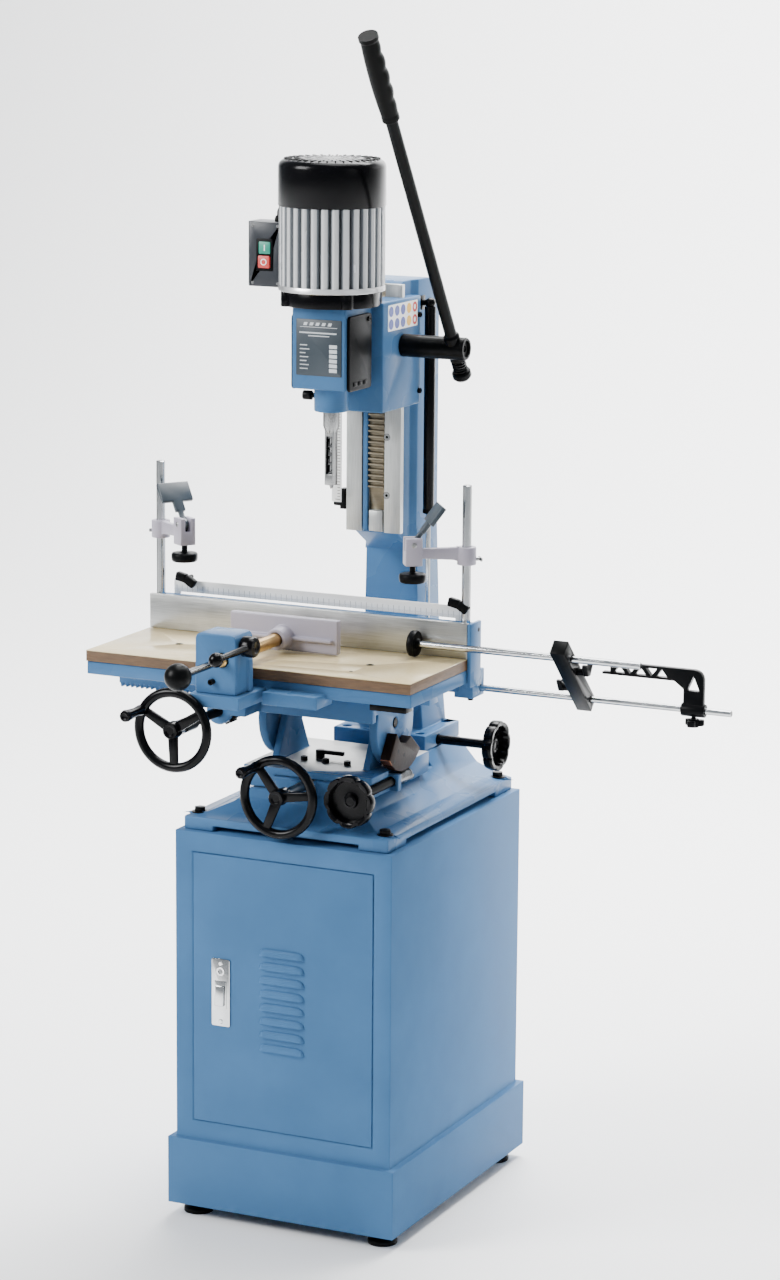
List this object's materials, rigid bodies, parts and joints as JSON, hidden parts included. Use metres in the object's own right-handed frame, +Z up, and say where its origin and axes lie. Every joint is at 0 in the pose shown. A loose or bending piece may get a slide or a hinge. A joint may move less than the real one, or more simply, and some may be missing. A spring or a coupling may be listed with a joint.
{
  "type": "floor-standing hollow-chisel mortiser",
  "caption": "Hollow-chisel mortiser on a cabinet stand: motor head on a column, long feed lever, tilting cross-slide table with fence, clamp, hold-downs and length stop.",
  "frame": {"origin": "on the floor under the middle of the whole machine's bounding box", "axes": "+Z up, +X to the operator's right along the table, -Y towards the operator"},
  "size_m": [1.042, 0.779, 1.9821],
  "materials": {
    "sheet_paint": "gloss powder-coated sheet steel",
    "casting_paint": "gloss painted iron casting",
    "black_metal": "satin black painted steel",
    "black_plastic": "moulded black plastic",
    "steel": "ground steel",
    "chrome": "bright plated steel",
    "brass": "turned brass",
    "rack_steel": "machined rack with a warm tone",
    "pale_casting": "pale grey-lilac painted casting",
    "aluminium": "bright die-cast aluminium",
    "laminate": "cream laminate on brown board",
    "bronze": "dark brown casting",
    "ruler": "white enamelled rule",
    "switch_grey": "dark grey switch case",
    "green": "green push button",
    "red": "red push button"
  },
  "bodies": {
    "stand": {"cabinet": "sheet_paint", "base_casting": "casting_paint", "column": "casting_paint", "way_plates": "steel", "head_rack": "rack_steel", "gas_spring_rod": "chrome"},
    "door": {"cabinet_door": "sheet_paint"},
    "latch": {"door_latch_paddle": "chrome"},
    "depth_stop": {"depth_stop": "black_metal"},
    "head": {"head_casting": "casting_paint", "motor_flange": "black_metal", "motor_housing": "aluminium", "motor_fan_cover": "black_metal", "hollow_chisel": "steel", "switch_box": "switch_grey", "gas_spring_cylinder": "black_metal"},
    "chisel_screw": {"chisel_lock_screw": "black_metal"},
    "spindle": {"motor_rotor_and_fan": "steel", "drill_chuck": "chrome", "auger_bit": "steel"},
    "start": {"start_button": "green"},
    "stop": {"stop_button": "red"},
    "pinion": {"feed_pinion": "steel"},
    "lever": {"feed_lever": "black_metal", "feed_lever_grip": "black_plastic"},
    "saddle": {"saddle": "casting_paint"},
    "saddle_lock": {"saddle_lock_lever": "black_metal"},
    "leadscrew": {"cross_leadscrew": "steel", "cross_handwheel": "black_plastic"},
    "rear_knob": {"rear_lock_knob": "black_plastic"},
    "carrier": {"tilt_carrier": "casting_paint", "tilt_sector": "bronze"},
    "worm": {"worm_shaft": "steel", "worm_knob": "black_plastic"},
    "traverse": {"traverse_pinion_shaft": "steel", "traverse_handwheel": "black_plastic"},
    "table": {"table_casting": "casting_paint", "table_top": "laminate", "fence_casting": "casting_paint", "fence_face": "steel", "fence_ruler": "ruler", "clamp_block": "casting_paint"},
    "clamp": {"clamp_push_rod": "brass", "clamp_plate": "pale_casting"},
    "clamp_lock": {"clamp_lock_lever": "black_metal"},
    "stop_rod": {"stop_lower_rod": "chrome"},
    "stop_link": {"stop_link_bar": "black_metal"},
    "stop_reach": {"stop_upper_rod": "chrome"},
    "upper_knob": {"stop_upper_wing_knob": "black_plastic"},
    "lower_knob": {"stop_lower_wing_knob": "black_plastic"},
    "truss": {"stop_truss_arm": "black_plastic"},
    "star": {"stop_star_knob": "black_plastic"},
    "post_left": {"holddown_post_left": "chrome"},
    "arm_left": {"holddown_arm_left": "pale_casting"},
    "paddle_left": {"holddown_paddle_left": "black_plastic"},
    "pad_left": {"holddown_pad_left": "black_plastic"},
    "post_right": {"holddown_post_right": "chrome"},
    "arm_right": {"holddown_arm_right": "pale_casting"},
    "paddle_right": {"holddown_paddle_right": "black_plastic"},
    "pad_right": {"holddown_pad_right": "black_plastic"}
  },
  "joints": [
    {"name": "door_hinge", "type": "hinge", "parent": "stand", "child": "door", "pos_m": [0.016, -0.1415, 0.4025], "axis": [0, 0, 1], "range_deg": [0, 110]},
    {"name": "latch_lift", "type": "hinge", "parent": "door", "child": "latch", "pos_m": [-0.2618, -0.1439, 0.412], "axis": [-1, 0, 0], "range_deg": [0, 45]},
    {"name": "depth_stop_slide", "type": "slide", "parent": "stand", "child": "depth_stop", "axis": [0, 0, 1], "range_m": [0, 0.12]},
    {"name": "head_slide", "type": "slide", "parent": "stand", "child": "head", "axis": [0, 0, 1], "range_m": [-0.145, 0], "stiffness_N_per_m": 250, "springref_m": 1.6},
    {"name": "feed_pinion_turn", "type": "hinge", "parent": "head", "child": "pinion", "pos_m": [-0.1445, 0.1765, 1.455], "axis": [1, 0, 0], "range_deg": [0, 396]},
    {"name": "feed_lever_swing", "type": "hinge", "parent": "head", "child": "lever", "pos_m": [0.001, 0.1765, 1.455], "axis": [1, 0, 0], "range_deg": [-30, 75]},
    {"name": "spindle_spin", "type": "hinge", "parent": "head", "child": "spindle", "pos_m": [-0.149, 0.0335, 1.455], "axis": [0, 0, 1], "continuous": true},
    {"name": "start_push", "type": "slide", "parent": "head", "child": "start", "axis": [0, 1, 0], "range_m": [0, 0.003], "stiffness_N_per_m": 700},
    {"name": "stop_push", "type": "slide", "parent": "head", "child": "stop", "axis": [0, 1, 0], "range_m": [0, 0.004], "stiffness_N_per_m": 700},
    {"name": "chisel_screw_turn", "type": "hinge", "parent": "head", "child": "chisel_screw", "pos_m": [-0.189, 0.0335, 1.382], "axis": [1, 0, 0], "range_deg": [0, 120]},
    {"name": "cross_slide", "type": "slide", "parent": "stand", "child": "saddle", "axis": [0, 1, 0], "range_m": [-0.06, 0.035]},
    {"name": "cross_screw_turn", "type": "hinge", "parent": "stand", "child": "leadscrew", "pos_m": [-0.149, 0.0335, 0.748], "axis": [0, 1, 0], "range_deg": [-4320, 2520]},
    {"name": "rear_knob_turn", "type": "hinge", "parent": "stand", "child": "rear_knob", "pos_m": [0.041, 0.2785, 0.766], "axis": [1, 0, 0], "range_deg": [0, 360]},
    {"name": "saddle_lock_turn", "type": "hinge", "parent": "saddle", "child": "saddle_lock", "pos_m": [-0.171, 0.0425, 0.778], "axis": [0, 0, 1], "range_deg": [-60, 60]},
    {"name": "table_tilt", "type": "hinge", "parent": "saddle", "child": "carrier", "pos_m": [-0.149, 0.0565, 0.842], "axis": [-1, 0, 0], "range_deg": [0, 35]},
    {"name": "worm_turn", "type": "hinge", "parent": "saddle", "child": "worm", "pos_m": [-0.0296, -0.0315, 0.75], "axis": [0, 1, 0], "range_deg": [0, 2801]},
    {"name": "table_slide", "type": "slide", "parent": "carrier", "child": "table", "axis": [1, 0, 0], "range_m": [-0.08, 0.17]},
    {"name": "traverse_turn", "type": "hinge", "parent": "carrier", "child": "traverse", "pos_m": [-0.296, -0.0815, 0.8625], "axis": [0, 1, 0], "range_deg": [-204.4, 434]},
    {"name": "clamp_slide", "type": "slide", "parent": "table", "child": "clamp", "axis": [0, 1, 0], "range_m": [-0.1, 0.06]},
    {"name": "clamp_lock_swing", "type": "hinge", "parent": "table", "child": "clamp_lock", "pos_m": [-0.18, -0.1995, 1.003], "axis": [-1, 0, 0], "range_deg": [0, 70]},
    {"name": "post_swivel_left", "type": "hinge", "parent": "table", "child": "post_left", "pos_m": [-0.505, 0.1005, 1], "axis": [0, 0, 1], "range_deg": [-25, 25]},
    {"name": "arm_slide_left", "type": "slide", "parent": "post_left", "child": "arm_left", "axis": [0, 0, 1], "range_m": [-0.045, 0.085]},
    {"name": "paddle_lift_left", "type": "hinge", "parent": "arm_left", "child": "paddle_left", "pos_m": [-0.43128, 0.04888, 1.146], "axis": [0.5736, 0.8192, 0], "range_deg": [0, 60]},
    {"name": "pad_press_left", "type": "slide", "parent": "arm_left", "child": "pad_left", "axis": [0, 0, 1], "range_m": [-0.01, 0]},
    {"name": "post_swivel_right", "type": "hinge", "parent": "table", "child": "post_right", "pos_m": [0.067, 0.1005, 1], "axis": [0, 0, 1], "range_deg": [-25, 25]},
    {"name": "arm_slide_right", "type": "slide", "parent": "post_right", "child": "arm_right", "axis": [0, 0, 1], "range_m": [-0.045, 0.085]},
    {"name": "paddle_lift_right", "type": "hinge", "parent": "arm_right", "child": "paddle_right", "pos_m": [-0.00672, 0.04888, 1.146], "axis": [0.5736, -0.8192, 0], "range_deg": [0, 60]},
    {"name": "pad_press_right", "type": "slide", "parent": "arm_right", "child": "pad_right", "axis": [0, 0, 1], "range_m": [-0.01, 0]},
    {"name": "stop_rod_slide", "type": "slide", "parent": "table", "child": "stop_rod", "axis": [1, 0, 0], "range_m": [-0.04, 0.035]},
    {"name": "stop_link_slide", "type": "slide", "parent": "stop_rod", "child": "stop_link", "axis": [1, 0, 0], "range_m": [-0.08, 0.12]},
    {"name": "stop_reach_slide", "type": "slide", "parent": "stop_link", "child": "stop_reach", "axis": [1, 0, 0], "range_m": [-0.05, 0.2]},
    {"name": "upper_knob_turn", "type": "hinge", "parent": "stop_link", "child": "upper_knob", "pos_m": [0.281, 0.07935, 0.9544], "axis": [1, 0, 0], "range_deg": [0, 180]},
    {"name": "lower_knob_turn", "type": "hinge", "parent": "stop_link", "child": "lower_knob", "pos_m": [0.246, 0.11697, 0.9179], "axis": [1, 0, 0], "range_deg": [0, 180]},
    {"name": "truss_slide", "type": "slide", "parent": "stop_rod", "child": "truss", "axis": [1, 0, 0], "range_m": [-0.05, 0.04]},
    {"name": "star_knob_turn", "type": "hinge", "parent": "truss", "child": "star", "pos_m": [0.456, 0.1385, 0.875], "axis": [0, 0, 1], "range_deg": [0, 180]}
  ],
  "couplings": [
    {"joint": "feed_pinion_turn", "follows": "head_slide", "rad_per_m": -47.619},
    {"joint": "cross_screw_turn", "follows": "cross_slide", "rad_per_m": 1256.6},
    {"joint": "worm_turn", "follows": "table_tilt", "ratio": 80},
    {"joint": "traverse_turn", "follows": "table_slide", "rad_per_m": 44.444},
    {"joint": "pad_press_left", "follows": "paddle_lift_left", "m_per_rad": -0.0095},
    {"joint": "pad_press_right", "follows": "paddle_lift_right", "m_per_rad": -0.0095}
  ]
}
